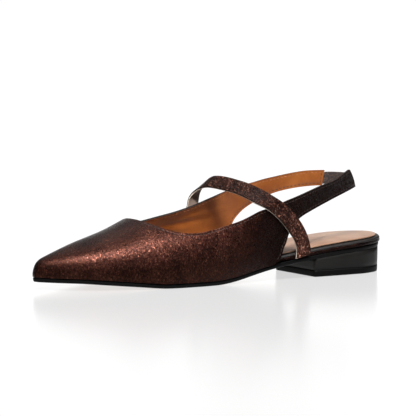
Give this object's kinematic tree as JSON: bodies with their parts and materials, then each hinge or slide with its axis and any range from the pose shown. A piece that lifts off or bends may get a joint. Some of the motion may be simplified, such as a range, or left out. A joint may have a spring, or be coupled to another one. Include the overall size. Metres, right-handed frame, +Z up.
{
  "type": "ballet flat",
  "caption": "Left pointed sling-back ballet flat with a closed vamp, an instep strap, an elastic heel gore and a low block heel.",
  "frame": {"origin": "under the middle of the shoe's box, on the floor", "axes": "+X from the heel to the toe, +Y to the outer side of the left foot, +Z up"},
  "size_m": [0.266, 0.0776, 0.0714],
  "materials": {
    "upper_leather": "dark brown metallic foiled leather with a fine crackle",
    "lining_leather": "smooth tan lining leather",
    "elastic": "dark brown woven elastic",
    "outsole_rubber": "black resin sole, satin",
    "heel_cover": "black satin heel cover"
  },
  "bodies": {
    "root": {"upper": "upper_leather", "instep_strap": "upper_leather", "elastic_gore": "elastic", "insole": "upper_leather", "sock_lining": "lining_leather", "outsole": "outsole_rubber", "heel": "heel_cover", "heel_top_piece": "outsole_rubber"}
  },
  "joints": []
}
